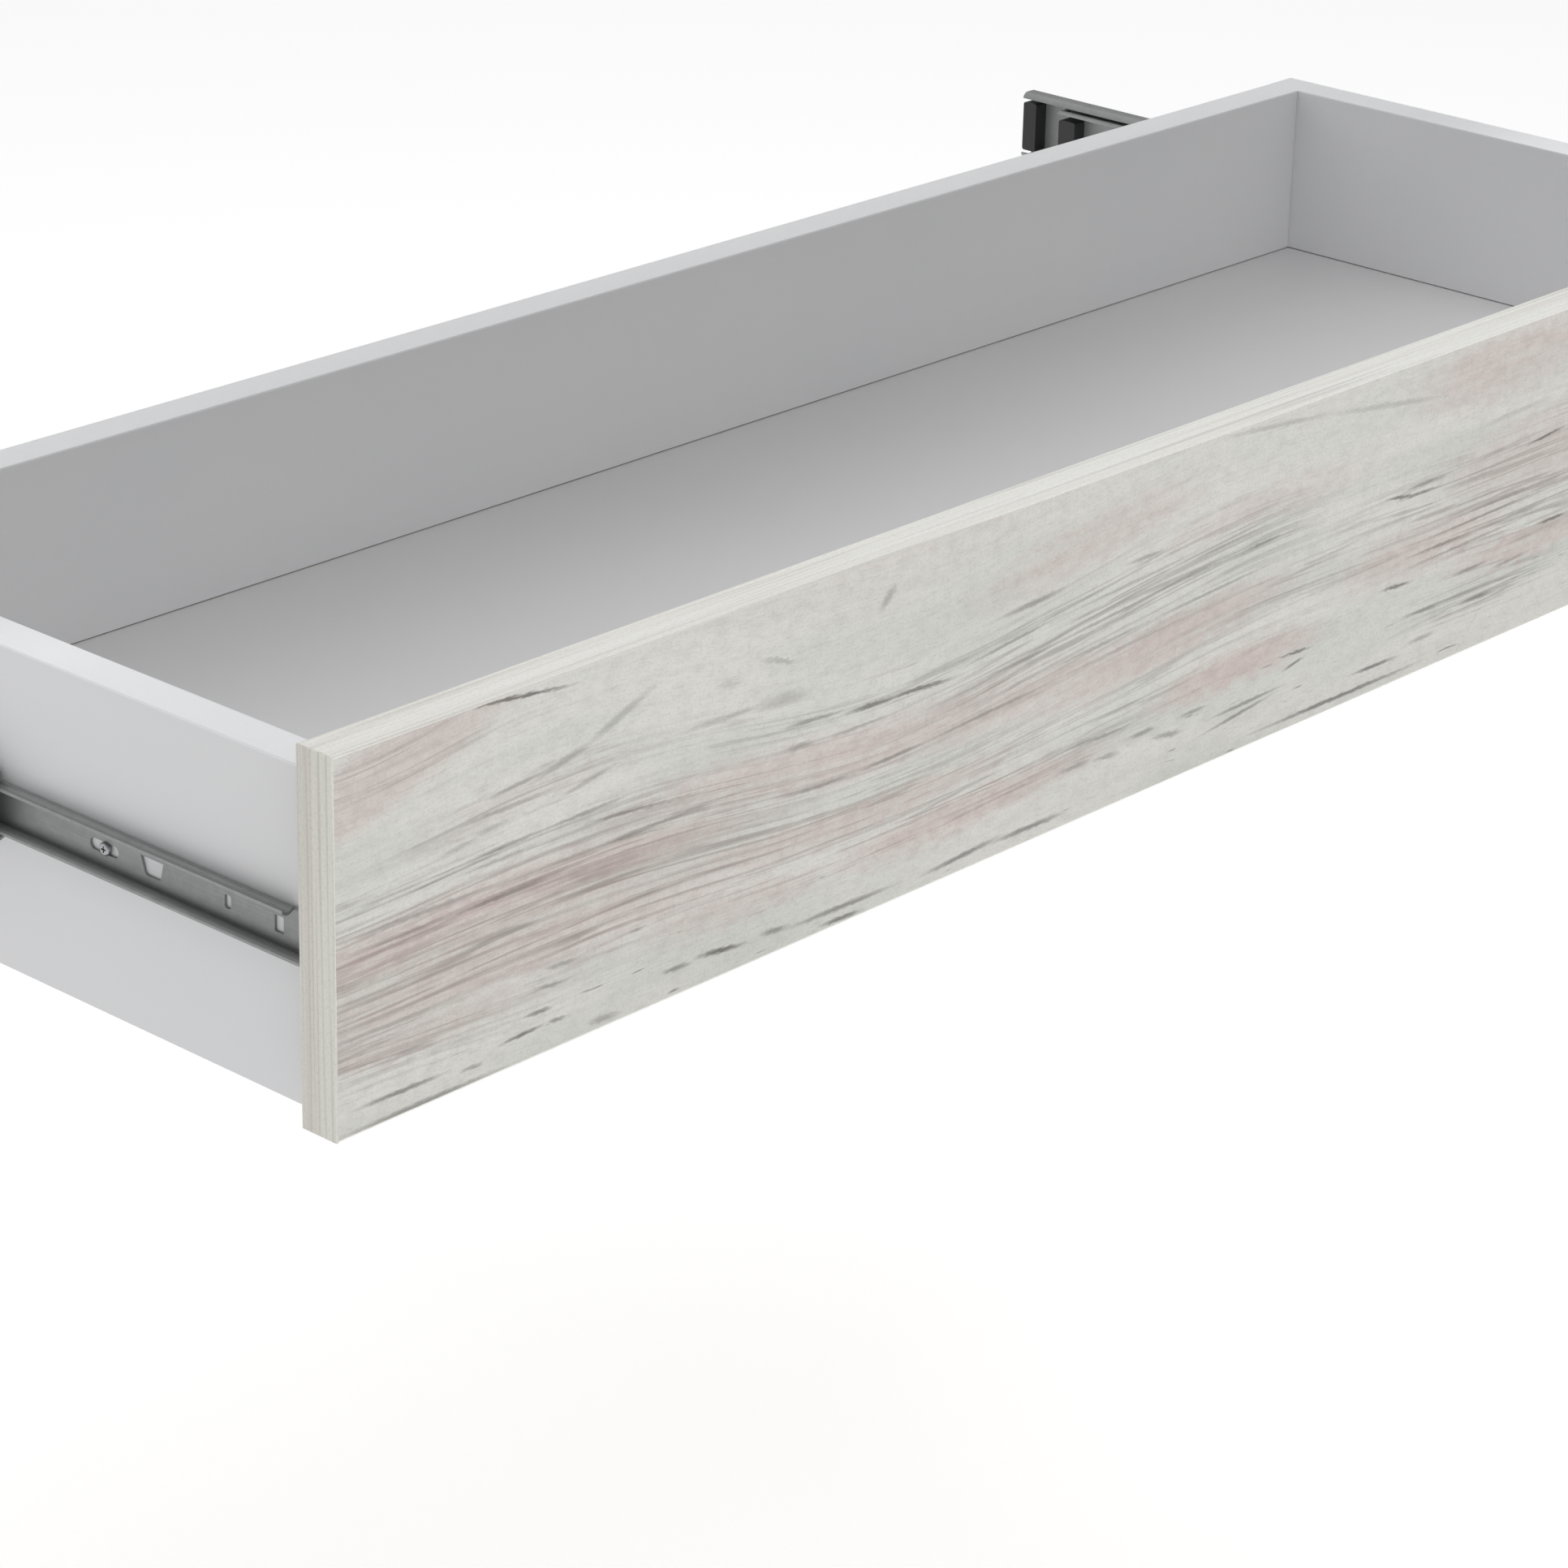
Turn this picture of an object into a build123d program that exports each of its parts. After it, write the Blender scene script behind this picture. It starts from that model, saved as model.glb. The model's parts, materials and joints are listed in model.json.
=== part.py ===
"""Under desk drawer on a pair of three-member ball-bearing runners.

Frame: origin in the middle of the carcass opening's front plane, at the height of the
runners' centre line.  +X to the right, +Y into the carcass, +Z up.  Millimetres.
Every piece is built with the drawer shut, where the front is flush with y = 0, and is
then moved out along -Y by its own share of the rest opening.
"""
from build123d import *
import os

# ---- driving dimensions -------------------------------------------------------------
BOARD = 16.0                # chipboard thickness of front, sides and back
OPENING_WIDTH = 916.4       # between the carcass walls
RUNNER_GAP = 12.7           # installed thickness of one runner
FRONT_GAP = 1.7             # joint between the front and each carcass wall
FRONT_HEIGHT = 130.0
SIDE_HEIGHT = 116.5         # sides and back stand on the same line as the front
SIDE_LENGTH = 304.0
FRONT_BAND = 0.8            # edge band of the front
BOX_BAND = 0.8              # edge band of sides and back
FLOOR_TOP = 41.0            # above the lower edge of the front
FLOOR_THICKNESS = 3.0
GROOVE_DEPTH = 7.0
GROOVE_PLAY = 0.4           # open joint over the floor in its groove
FLOOR_SHORT = 0.5           # how far the floor stops short of the bottom of its groove
BAND_ROUND = 0.5            # rounding of the front's exposed band edges
BOX_BAND_ROUND = 0.4        # the same on sides and back
ARRIS = 0.4                 # eased vertical edge of the back against a side
FIT = 0.02                  # gap round a peg in its drilled hole, and under the floor
BATTEN_HEIGHT = 22.0        # stiffener under the middle of the floor
RUNNER_HEIGHT = 60.2        # runner centre line above the lower edge of the front

RUNNER_START = 19.0         # front end of the runners behind the opening's front plane
INTERMEDIATE_START = 20.0   # the intermediate members sit one millimetre further back
CABINET_LENGTH = 300.0
INTERMEDIATE_LENGTH = 290.0
DRAWER_LENGTH = 280.0
RUNNER_TRAVEL = 150.0       # of each of the two telescoping stages
INTERMEDIATE_OUT = 15.0     # rest pose: how far the intermediate members stand out
STAGE_OUT = RUNNER_TRAVEL   # rest pose: how far the drawer stands out of them

CABINET_HEIGHT = 33.0
CABINET_SHEET = 1.2
SHEET = 1.0                 # intermediate and drawer members
DRAWER_MEMBER_HEIGHT = 16.5
DRAWER_MEMBER_DEPTH = 6.0
BALL_RADIUS = 2.0
RUNNING = 0.05              # gap between a ball and its race
OUTER_RACE_DEPTH = 0.6      # of the race pressed into the outside of the intermediate member
DRAWER_RACE_DEPTH = 1.0     # of the race pressed into the outside of the drawer member
CAGE_SHEET = 0.5
CAGE_MARGIN = 5.0           # from a cage's end to its first ball
BALLS_PER_ROW = 8

# ---- worked out from them -----------------------------------------------------------
HALF_OPENING = OPENING_WIDTH / 2
HALF_BOX = HALF_OPENING - RUNNER_GAP
HALF_INSIDE = HALF_BOX - BOARD
HALF_FRONT = HALF_OPENING - FRONT_GAP
LOW = -RUNNER_HEIGHT                    # lower edge of the whole drawer
FRONT_TOP = LOW + FRONT_HEIGHT
SIDE_TOP = LOW + SIDE_HEIGHT
FLOOR_Z = LOW + FLOOR_TOP
BACK_FACE = BOARD + SIDE_LENGTH         # rear face of the shut drawer
BACK_INSIDE = BACK_FACE - BOARD
SIDE_MIDDLE = HALF_BOX - BOARD / 2      # x of every fastener driven into a side's end

RACE_RADIUS = BALL_RADIUS + RUNNING
HALF_CABINET = CABINET_HEIGHT / 2
HALF_DRAWER_MEMBER = DRAWER_MEMBER_HEIGHT / 2
INNER_BALL_W = HALF_DRAWER_MEMBER - DRAWER_RACE_DEPTH + RACE_RADIUS
OUTER_BALL_W = HALF_CABINET - CABINET_SHEET - RACE_RADIUS
HALF_INTERMEDIATE = OUTER_BALL_W - RACE_RADIUS + OUTER_RACE_DEPTH

# Distances from the carcass wall, across the runner.
OUTER_BALL_U = 5.8
INNER_BALL_U = 9.0
INTERMEDIATE_U = 2.2                    # outer face of the intermediate member's web
INTERMEDIATE_END_U = 11.2               # free edge of its flanges
DRAWER_WEB_U = RUNNER_GAP - SHEET
OUTER_CAGE_U = (1.45, 8.2)
INNER_CAGE_U = (3.6, 11.2)
EAR_CUT_W = 13.75                       # where the cabinet member's ear stops
OUTER_CAGE_Y = (96.0, 232.0)
INNER_CAGE_Y = (96.0, 222.0)
LUG_LENGTH = 2.0                        # stop crimps at the ends of the members
LUG_INSET = 0.5

DRAWER_OUT = INTERMEDIATE_OUT + STAGE_OUT
OUTER_CAGE_OUT = INTERMEDIATE_OUT / 2
INNER_CAGE_OUT = INTERMEDIATE_OUT + STAGE_OUT / 2

# Stop crimps stand this far into (first) and out of (second) the sheet they are pressed from.
CABINET_LUG = (0.7, 0.1)
INTERMEDIATE_OUTER_LUG = (0.5, 0.6)
INTERMEDIATE_INNER_LUG = (0.6, 0.5)
DRAWER_LUG = (0.3, 0.5)
LUG_HALF_WIDTH = 1.0

# Cut-outs of the members: y, length along Y, height, corner radius.
CABINET_SLOTS = [(69.0, 4.6, 9.0, 2.25), (229.0, 4.6, 9.0, 2.25),
                 (133.0, 9.0, 4.6, 2.25), (197.0, 9.0, 4.6, 2.25)]
INTERMEDIATE_SLOTS = [(y, 22.0, 8.0, 3.9) for y in (110.0, 165.0, 220.0)]
INTERMEDIATE_HOLE_Y, INTERMEDIATE_HOLE_RADIUS = (52.0, 276.0), 5.0
DRAWER_MEMBER_SLOTS = [(36.0, 4.2, 5.8, 0.5), (60.0, 3.0, 4.8, 1.0), (119.6, 14.0, 4.2, 2.05)]
DRAWER_FLANGE_START = 29.0              # the upper flange begins behind the bare front tab
DRAWER_TAB_CUT = 1.2                    # how far below the flange the tab is cut free
FLANGE_CORNER, FLANGE_CORNER_CUT = 4.0, 2.5     # radius, and height of its cutter
TONGUE_TOP, TONGUE_BOTTOM = (90.7, 101.7), (92.2, 99.6)     # y of the tongue window's corners
TONGUE_HALF_HEIGHT, TONGUE_CORNER = 3.2, 1.6
CUT_START_U = 5.0                       # drawer member cutters start clear of the other members
CABINET_BEND, DRAWER_BEND = 1.6, 1.3    # outer bend radius of the sheet

CAGE_WINDOW_PITCH, CAGE_WINDOW_LENGTH, CAGE_WINDOW_SHARE = 38.0, 26.0, 1.2
CAGE_WINDOW_CORNER = 3.0
POCKET_PLAY = 0.06                      # between a ball and its pocket in the cage

# Plastic bumpers: outer depth and half height; the peg is set back from the member's end.
PEG_RADIUS = 1.8
CABINET_PEG_SETBACK, INTERMEDIATE_PEG_SETBACK = 4.5, 5.5
CABINET_PEG_Y = RUNNER_START + CABINET_LENGTH - CABINET_PEG_SETBACK
INTERMEDIATE_PEG_Y = INTERMEDIATE_START + INTERMEDIATE_LENGTH - INTERMEDIATE_PEG_SETBACK
CABINET_BUMPER_U, CABINET_BUMPER_HALF = 9.0, 12.0
INTERMEDIATE_BUMPER_U, INTERMEDIATE_BUMPER_HALF = 10.8, 8.0
BUMPER_PLAY, BUMPER_CORNER = 0.5, 1.2

# Release lever, in depth and along Y from its pivot.
LEVER_PIVOT_Y = 228.0
LEVER_U = (8.9, 11.5)
LEVER_EYE, LEVER_HALF_ARM, LEVER_REACH = 3.6, 1.6, 44.0
LEVER_PAD, LEVER_PAD_CORNER, LEVER_PAD_PAST = (14.0, 4.4), 1.8, 2.0
GRIP_COUNT, GRIP_PITCH, GRIP_WIDTH, GRIP_DEPTH = 4, 2.6, 0.9, 0.5
RIVET_RADIUS, RIVET_HEAD_RADIUS, RIVET_HEAD, RIVET_PLAY = 1.5, 2.8, 0.8, 0.2

# Fasteners: heights are above the lower edge of the drawer.
CAM_HEIGHTS = (24.0, 88.0)
FRONT_DOWEL_HEIGHTS = (56.0, 106.0)
CONFIRMAT_HEIGHTS = (24.0, 92.0)
BACK_DOWEL_HEIGHT = 64.0
CAM_SETBACK = 24.0                      # from the side's front end to the cam's centre
DOWEL_RADIUS, DOWEL_LENGTH, DOWEL_IN_BOARD = 4.0, 30.0, 10.0
MEMBER_SCREW_Y = (118.7, 205.0, 285.0)  # drawer member's screws
CARCASS_SCREW_Y = (37.0, 261.0)         # free round holes in the cabinet member
CARCASS_HOLE_RADIUS = 2.3

DOWEL_CHAMFER = 0.8
DOWEL_END_ROOM = 1.0                    # left over at the bottom of a dowel hole
DOWEL_IN_SIDE = DOWEL_LENGTH - DOWEL_IN_BOARD + DOWEL_END_ROOM
CAM_RADIUS, CAM_DEPTH, CAM_PLAY = 7.4, 12.4, 0.1
CAM_HOLLOW, CAM_HOLLOW_BEHIND = 0.5, 2.0    # room round and behind the bolt's head
CAM_RECESS = (7.0, 1.4, 2.2)            # span, width and depth of a cross recess
BOLT_THREAD_RADIUS, BOLT_THREAD = 2.5, 10.5
BOLT_SHANK_RADIUS, BOLT_NECK_RADIUS, BOLT_HEAD_RADIUS = 3.0, 1.8, 3.2
BOLT_NECK_START, BOLT_HEAD_START = 6.5, 2.5     # before the cam's centre
BOLT_HEAD, BOLT_HEAD_ROUND = 3.0, 0.8
CONFIRMAT_HEAD_RADIUS, CONFIRMAT_HEAD = 4.8, 1.6
CONFIRMAT_SHANK_RADIUS, CONFIRMAT_THREAD_RADIUS, CONFIRMAT_TIP_RADIUS = 3.4, 2.5, 1.2
CONFIRMAT_LENGTH, CONFIRMAT_SHANK, CONFIRMAT_TIP = 50.0, 14.0, 3.0
CONFIRMAT_ROOM = 1.0                    # left over at the bottom of its hole
SOCKET_RADIUS, SOCKET_DEPTH = 2.0, 1.4
CAP_RADIUS, CAP_THICKNESS, CAP_ROUND = 6.0, 0.8, 0.35
SCREW_RADIUS, SCREW_LENGTH, SCREW_TIP, SCREW_POINT_RADIUS = 1.7, 14.0, 3.0, 0.2
SCREW_HEAD_RADIUS, SCREW_HEAD, SCREW_CROWN = 2.4, 1.2, 0.8
SCREW_RECESS = (2.4, 0.6, 0.8)
SCREW_CLEARANCE = 0.3                   # round a screw in the drawer member's web


# ---- helpers ------------------------------------------------------------------------
def block(low, high):
    """A box between two corners."""
    size = [h - l for l, h in zip(low, high)]
    return Pos(*low) * Box(*size, align=(Align.MIN, Align.MIN, Align.MIN))


def rod(start, direction, radius, length, end_radius=None):
    """A round bar, or a cone when end_radius is given, that starts at a point."""
    plane = Plane(origin=start, z_dir=direction)
    base = (Align.CENTER, Align.CENTER, Align.MIN)
    if end_radius is None:
        return plane * Cylinder(radius, length, align=base)
    return plane * Cone(radius, end_radius, length, align=base)


def strip(u0, u1, w0, w1):
    """A rectangle of a runner's section, between two depths and two heights."""
    return Pos((u0 + u1) / 2, (w0 + w1) / 2) * Rectangle(u1 - u0, w1 - w0)


def disc(u, w, radius):
    return Pos(u, w) * Circle(radius)


def both_ways(section):
    """A section and its mirror image below the centre line."""
    return section + mirror(section, about=Plane.XZ)


def along_runner(section, start, length):
    """Extrude a runner section back from y = start, against the left carcass wall."""
    return Pos(-HALF_OPENING, start, 0) * extrude(Plane.XZ * section, amount=-length)


def bent(half, u, w, radius):
    """Round the corner of a section that is nearest to a point, as a bend does."""
    corner = half.vertices().sort_by_distance((u, w, 0))[0]
    return fillet(corner, radius)


def facing_in(y, w, u=0.0):
    """The plane across the left runner: its x runs along Y, its y runs up."""
    return Plane(origin=(-HALF_OPENING + u, y, w), x_dir=(0, 1, 0), z_dir=(1, 0, 0))


def web_hole(y, radius):
    """A round cutter across the left runner."""
    return extrude(facing_in(y, 0) * Circle(radius), amount=RUNNER_GAP)


def web_slot(y, length, height, corner, depth=RUNNER_GAP):
    """A cutter with rounded corners across the left runner: length along Y."""
    return extrude(facing_in(y, 0) * RectangleRounded(length, height, corner), amount=depth)


def cross_recess(centre, direction, span, width, depth):
    """The cutter for a cross recess sunk along a direction parallel to X or Y."""
    plane = Plane(origin=centre, z_dir=direction)
    arms = Rectangle(span, width) + Rectangle(width, span)
    return extrude(plane * arms, amount=depth)


# ---- fasteners ----------------------------------------------------------------------
def dowel(start, direction):
    """A beech dowel with a chamfer at both ends."""
    bar = rod(start, direction, DOWEL_RADIUS, DOWEL_LENGTH)
    return chamfer(bar.edges().filter_by(GeomType.CIRCLE), DOWEL_CHAMFER)


def dowel_hole(start, direction, depth):
    return rod(start, direction, DOWEL_RADIUS + FIT, depth)


def cam_bolt(x, z):
    """The bolt screwed into the back of the front, with its head in the cam."""
    neck_start = BOARD + CAM_SETBACK - BOLT_NECK_START
    head_start = BOARD + CAM_SETBACK - BOLT_HEAD_START
    back = (0, 1, 0)
    bolt = rod((x, BOARD - BOLT_THREAD, z), back, BOLT_THREAD_RADIUS, BOLT_THREAD)
    bolt += rod((x, BOARD, z), back, BOLT_SHANK_RADIUS, neck_start - BOARD)
    bolt += rod((x, neck_start, z), back, BOLT_NECK_RADIUS, head_start - neck_start)
    head = rod((x, head_start, z), back, BOLT_HEAD_RADIUS, BOLT_HEAD)
    return bolt + fillet(head.edges().filter_by(GeomType.CIRCLE), BOLT_HEAD_ROUND)


def cam_lock(x, z):
    """The zinc cam sunk in the inner face of a side, hollow where it takes the bolt."""
    face = -HALF_INSIDE if x < 0 else HALF_INSIDE
    outward = (-1, 0, 0) if x < 0 else (1, 0, 0)
    y = BOARD + CAM_SETBACK
    cam = rod((face, y, z), outward, CAM_RADIUS, CAM_DEPTH)
    hollow = BOLT_HEAD_RADIUS + CAM_HOLLOW
    cam -= block((x - hollow, y - 2 * CAM_RADIUS, z - hollow),
                 (x + hollow, y + CAM_HOLLOW_BEHIND, z + hollow))
    return cam - cross_recess((face, y, z), outward, *CAM_RECESS)


def confirmat(start, direction):
    """A one-piece connecting screw whose flat head is flush with the board at start."""
    origin, step = Vector(*start), Vector(*direction)
    screw = rod(start, direction, CONFIRMAT_HEAD_RADIUS, CONFIRMAT_HEAD)
    screw += rod(origin + step * CONFIRMAT_HEAD, direction, CONFIRMAT_SHANK_RADIUS,
                 CONFIRMAT_SHANK - CONFIRMAT_HEAD)
    screw += rod(origin + step * CONFIRMAT_SHANK, direction, CONFIRMAT_THREAD_RADIUS,
                 CONFIRMAT_LENGTH - CONFIRMAT_SHANK - CONFIRMAT_TIP)
    screw += rod(origin + step * (CONFIRMAT_LENGTH - CONFIRMAT_TIP), direction,
                 CONFIRMAT_THREAD_RADIUS, CONFIRMAT_TIP, CONFIRMAT_TIP_RADIUS)
    hexagon = Plane(origin=start, z_dir=direction) * RegularPolygon(SOCKET_RADIUS, 6)
    return screw - extrude(hexagon, amount=SOCKET_DEPTH)


def confirmat_hole(start, direction):
    """The stepped hole for a confirmat, cut from both boards that it joins."""
    origin, step = Vector(*start), Vector(*direction)
    hole = rod(start, direction, CONFIRMAT_HEAD_RADIUS + FIT, CONFIRMAT_HEAD)
    hole += rod(start, direction, CONFIRMAT_SHANK_RADIUS + FIT, CONFIRMAT_SHANK)
    return hole + rod(origin, step, CONFIRMAT_THREAD_RADIUS + FIT, CONFIRMAT_LENGTH + CONFIRMAT_ROOM)


def cap(start, direction):
    """The push-in cover cap over a confirmat's head."""
    disc_cap = rod(start, direction, CAP_RADIUS, CAP_THICKNESS)
    rim = disc_cap.edges().filter_by(GeomType.CIRCLE).sort_by(Axis(start, direction))[-1]
    return fillet(rim, CAP_ROUND)


def member_screw(y):
    """A pan-head screw that holds the left drawer member to the side."""
    x = -HALF_OPENING + DRAWER_WEB_U
    inward, outward = (1, 0, 0), (-1, 0, 0)
    head = rod((x, y, 0), outward, SCREW_HEAD_RADIUS, SCREW_HEAD)
    crown = head.edges().filter_by(GeomType.CIRCLE).sort_by(Axis.X)[0]
    head = fillet(crown, SCREW_CROWN)
    head -= cross_recess((x - SCREW_HEAD, y, 0), inward, *SCREW_RECESS)
    straight = SCREW_LENGTH - SCREW_TIP
    shank = rod((x, y, 0), inward, SCREW_RADIUS, straight)
    return head + shank + rod((x + straight, y, 0), inward, SCREW_RADIUS, SCREW_TIP, SCREW_POINT_RADIUS)


# ---- the drawer box -----------------------------------------------------------------
def fastener_places(heights):
    """The (x, z) places of a row of fasteners in the ends of both sides."""
    return [(side * SIDE_MIDDLE, LOW + height) for side in (-1, 1) for height in heights]


CAM_PLACES = fastener_places(CAM_HEIGHTS)
BATTEN_Z = FLOOR_Z - FLOOR_THICKNESS - BATTEN_HEIGHT / 2
DOWELS_TO_FRONT = fastener_places(FRONT_DOWEL_HEIGHTS) + [(0, BATTEN_Z)]
BACK_Y = BACK_FACE - BOARD / 2
CONFIRMATS_TO_SIDES = [((side * HALF_BOX, BACK_Y, LOW + height), (-side, 0, 0))
                       for side in (-1, 1) for height in CONFIRMAT_HEIGHTS]
CONFIRMATS = CONFIRMATS_TO_SIDES + [((0, BACK_FACE, BATTEN_Z), (0, -1, 0))]
DOWELS_TO_BACK = [((side * (HALF_INSIDE + DOWEL_IN_BOARD), BACK_Y, LOW + BACK_DOWEL_HEIGHT),
                   (-side, 0, 0)) for side in (-1, 1)]


def floor_slab(reach, under, over):
    """The floor's slab, or the slab that its grooves make in the boards round it."""
    return block((-HALF_INSIDE - reach, BOARD - reach, FLOOR_Z - FLOOR_THICKNESS - under),
                 (HALF_INSIDE + reach, BACK_INSIDE + reach, FLOOR_Z + over))


FLOOR_GROOVE = floor_slab(GROOVE_DEPTH, FIT, GROOVE_PLAY)


def top_band(low, high, axis):
    """An edge band along one axis, with both its upper edges rounded."""
    band = block(low, high)
    return fillet(band.edges().filter_by(axis).group_by(Axis.Z)[-1], BOX_BAND_ROUND)


def front_panel():
    band = FRONT_BAND
    panel = block((-HALF_FRONT + band, 0, LOW + band), (HALF_FRONT - band, BOARD, FRONT_TOP - band))
    panel -= FLOOR_GROOVE
    for x, z in CAM_PLACES:
        panel -= rod((x, BOARD, z), (0, -1, 0), BOLT_THREAD_RADIUS + FIT, BOLT_THREAD + FIT)
    for x, z in DOWELS_TO_FRONT:
        panel -= dowel_hole((x, BOARD, z), (0, -1, 0), DOWEL_IN_BOARD + DOWEL_END_ROOM)
    return panel


def front_bands():
    """Edge bands: the two short ones run the full height, over the ends of the long ones."""
    band = FRONT_BAND
    long_low, long_high = -HALF_FRONT + band, HALF_FRONT - band
    left = block((-HALF_FRONT, 0, LOW), (long_low, BOARD, FRONT_TOP))
    left = fillet(left.edges().filter_by(Axis.Z).group_by(Axis.X)[0], BAND_ROUND)
    top = block((long_low, 0, FRONT_TOP - band), (long_high, BOARD, FRONT_TOP))
    top = fillet(top.edges().filter_by(Axis.X).group_by(Axis.Z)[-1], BAND_ROUND)
    bottom = block((long_low, 0, LOW), (long_high, BOARD, LOW + band))
    bottom = fillet(bottom.edges().filter_by(Axis.X).group_by(Axis.Z)[0], BAND_ROUND)
    return {
        "front_edge_band_left": left,
        "front_edge_band_right": mirror(left, about=Plane.YZ),
        "front_edge_band_top": top,
        "front_edge_band_bottom": bottom,
    }


def left_side_panel():
    panel = block((-HALF_BOX, BOARD, LOW), (-HALF_INSIDE, BACK_FACE - BOX_BAND, SIDE_TOP - BOX_BAND))
    panel -= FLOOR_GROOVE
    cam_y = BOARD + CAM_SETBACK
    for x, z in CAM_PLACES:
        if x < 0:
            panel -= rod((-HALF_INSIDE, cam_y, z), (-1, 0, 0), CAM_RADIUS + CAM_PLAY, CAM_DEPTH + CAM_PLAY)
            panel -= rod((x, BOARD, z), (0, 1, 0), BOLT_SHANK_RADIUS + CAM_HOLLOW, CAM_SETBACK)
    for x, z in DOWELS_TO_FRONT:
        if x < 0:
            panel -= dowel_hole((x, BOARD, z), (0, 1, 0), DOWEL_IN_SIDE)
    for start, direction in CONFIRMATS_TO_SIDES[:len(CONFIRMAT_HEIGHTS)]:
        panel -= confirmat_hole(start, direction)
    x, y, z = DOWELS_TO_BACK[0][0]
    panel -= dowel_hole((x - DOWEL_END_ROOM, y, z), (1, 0, 0), DOWEL_LENGTH)
    for y in MEMBER_SCREW_Y:
        panel -= rod((-HALF_BOX, y, 0), (1, 0, 0), SCREW_RADIUS + FIT, SCREW_LENGTH)
    return panel


def left_side_bands():
    low, high = SIDE_TOP - BOX_BAND, SIDE_TOP
    rear = block((-HALF_BOX, BACK_FACE - BOX_BAND, LOW), (-HALF_INSIDE, BACK_FACE, low))
    return {
        "side_top_edge_band": top_band((-HALF_BOX, BOARD, low), (-HALF_INSIDE, BACK_FACE, high), Axis.Y),
        "side_rear_edge_band": rear,
    }


def back_panel():
    panel = block((-HALF_INSIDE, BACK_INSIDE, LOW), (HALF_INSIDE, BACK_FACE, SIDE_TOP - BOX_BAND))
    panel = chamfer(panel.edges().filter_by(Axis.Z).group_by(Axis.Y)[0], ARRIS)
    panel -= FLOOR_GROOVE
    for start, direction in CONFIRMATS:
        panel -= confirmat_hole(start, direction)
    for start, direction in DOWELS_TO_BACK:
        panel -= dowel_hole(start, direction, DOWEL_LENGTH + DOWEL_END_ROOM)
    return panel


def batten():
    half = BOARD / 2
    top = FLOOR_Z - FLOOR_THICKNESS
    bar = block((-half, BOARD, top - BATTEN_HEIGHT), (half, BACK_INSIDE, top))
    bar -= confirmat_hole(*CONFIRMATS[-1])
    return bar - dowel_hole((0, BOARD, BATTEN_Z), (0, 1, 0), DOWEL_IN_SIDE)


# ---- the left runner ----------------------------------------------------------------
def lug(ball_u, w0, w1, y):
    """A stop crimp that stands into a ball track."""
    section = strip(ball_u - LUG_HALF_WIDTH, ball_u + LUG_HALF_WIDTH, w0, w1)
    return along_runner(both_ways(section), y, LUG_LENGTH)


def cabinet_member():
    """C section whose flanges end in ears round the outer balls."""
    inside = HALF_CABINET - CABINET_SHEET
    half = strip(0, CABINET_SHEET, 0, HALF_CABINET)
    half += strip(0, OUTER_BALL_U, inside, HALF_CABINET)
    ring = disc(OUTER_BALL_U, OUTER_BALL_W, RACE_RADIUS + CABINET_SHEET)
    ring -= disc(OUTER_BALL_U, OUTER_BALL_W, RACE_RADIUS)
    half += ring & strip(OUTER_BALL_U, RUNNER_GAP, EAR_CUT_W, HALF_CABINET)
    half = bent(half, 0, HALF_CABINET, CABINET_BEND)
    member = along_runner(both_ways(half), RUNNER_START, CABINET_LENGTH)
    member += lug(OUTER_BALL_U, inside - CABINET_LUG[0], inside + CABINET_LUG[1],
                  RUNNER_START + LUG_INSET)
    for y in CARCASS_SCREW_Y:
        member -= web_hole(y, CARCASS_HOLE_RADIUS)
    for slot in CABINET_SLOTS:
        member -= web_slot(*slot, depth=2 * CABINET_SHEET)
    return member - web_hole(CABINET_PEG_Y, PEG_RADIUS + FIT)


def intermediate_member():
    """C section with one race pressed into each face of its flanges."""
    inside = HALF_INTERMEDIATE - SHEET
    middle = HALF_INTERMEDIATE - SHEET / 2
    half = strip(INTERMEDIATE_U, INTERMEDIATE_U + SHEET, 0, HALF_INTERMEDIATE)
    half += strip(INTERMEDIATE_U, INTERMEDIATE_END_U, inside, HALF_INTERMEDIATE)
    half += disc(OUTER_BALL_U, OUTER_BALL_W, RACE_RADIUS + SHEET) & strip(0, RUNNER_GAP, 0, middle)
    inner_wall = strip(0, INTERMEDIATE_END_U, middle, HALF_CABINET)
    half += disc(INNER_BALL_U, INNER_BALL_W, RACE_RADIUS + SHEET) & inner_wall
    half -= disc(OUTER_BALL_U, OUTER_BALL_W, RACE_RADIUS)
    half -= disc(INNER_BALL_U, INNER_BALL_W, RACE_RADIUS)
    start, end = INTERMEDIATE_START, INTERMEDIATE_START + INTERMEDIATE_LENGTH
    member = along_runner(both_ways(half), start, INTERMEDIATE_LENGTH)
    member += lug(OUTER_BALL_U, HALF_INTERMEDIATE - INTERMEDIATE_OUTER_LUG[0],
                  HALF_INTERMEDIATE + INTERMEDIATE_OUTER_LUG[1], end - LUG_INSET - LUG_LENGTH)
    member += lug(INNER_BALL_U, inside - INTERMEDIATE_INNER_LUG[0], inside + INTERMEDIATE_INNER_LUG[1],
                  start + LUG_INSET)
    for y in INTERMEDIATE_HOLE_Y:
        member -= web_hole(y, INTERMEDIATE_HOLE_RADIUS)
    for slot in INTERMEDIATE_SLOTS:
        member -= web_slot(*slot)
    return member - web_hole(INTERMEDIATE_PEG_Y, PEG_RADIUS + FIT)


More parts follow.
